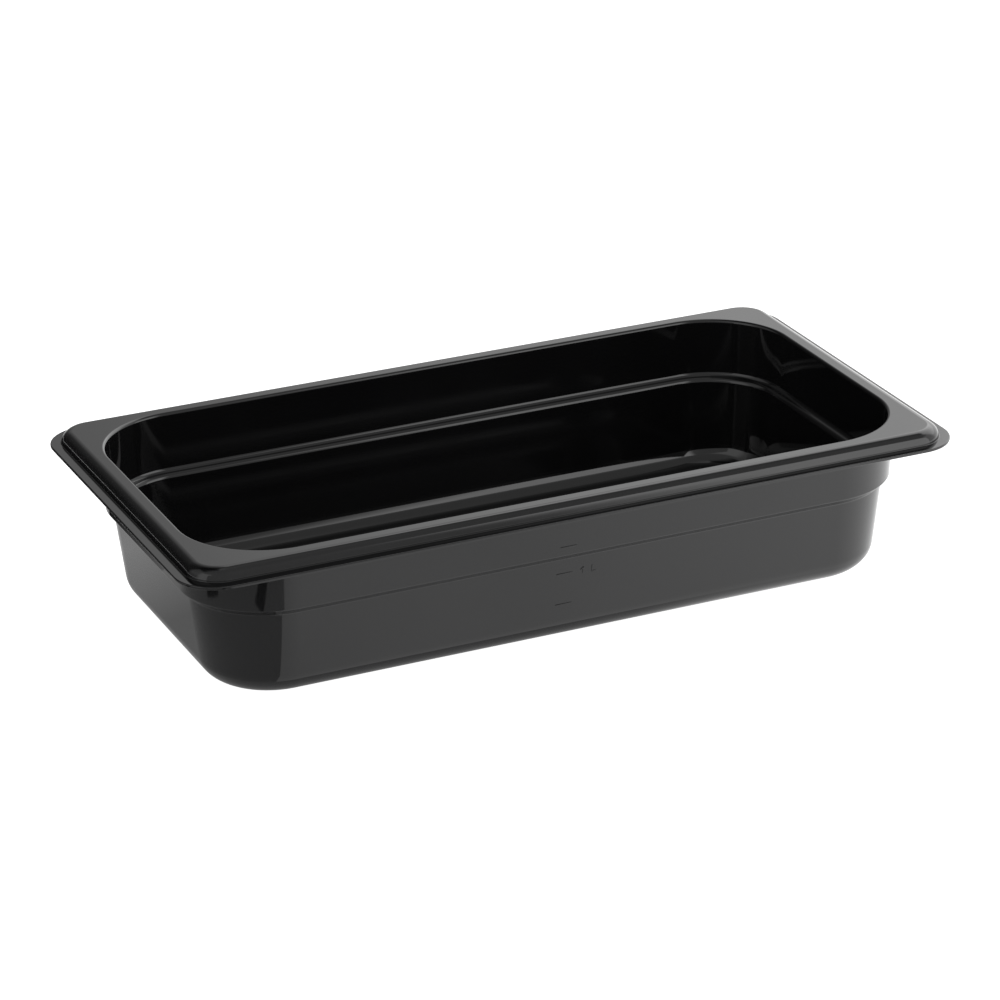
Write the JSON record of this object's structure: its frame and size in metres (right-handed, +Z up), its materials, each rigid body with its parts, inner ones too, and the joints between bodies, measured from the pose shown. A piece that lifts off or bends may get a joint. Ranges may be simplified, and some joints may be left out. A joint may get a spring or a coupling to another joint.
{
  "type": "food pan",
  "caption": "Shallow oblong food pan in glossy black plastic, with a rolled hanging rim, drafted walls, a stacking shoulder and raised litre marks.",
  "frame": {"origin": "centre of the underside of the base, on the surface that the pan stands on", "axes": "+X along the length, +Y across the width towards the wall without marks, +Z up"},
  "size_m": [0.325, 0.176, 0.0643],
  "materials": {
    "pan_plastic": "glossy moulded polycarbonate",
    "mark_plastic": "glossy moulded polycarbonate, as the pan"
  },
  "bodies": {
    "root": {"pan_body": "pan_plastic", "litre_marks": "mark_plastic"}
  },
  "joints": []
}
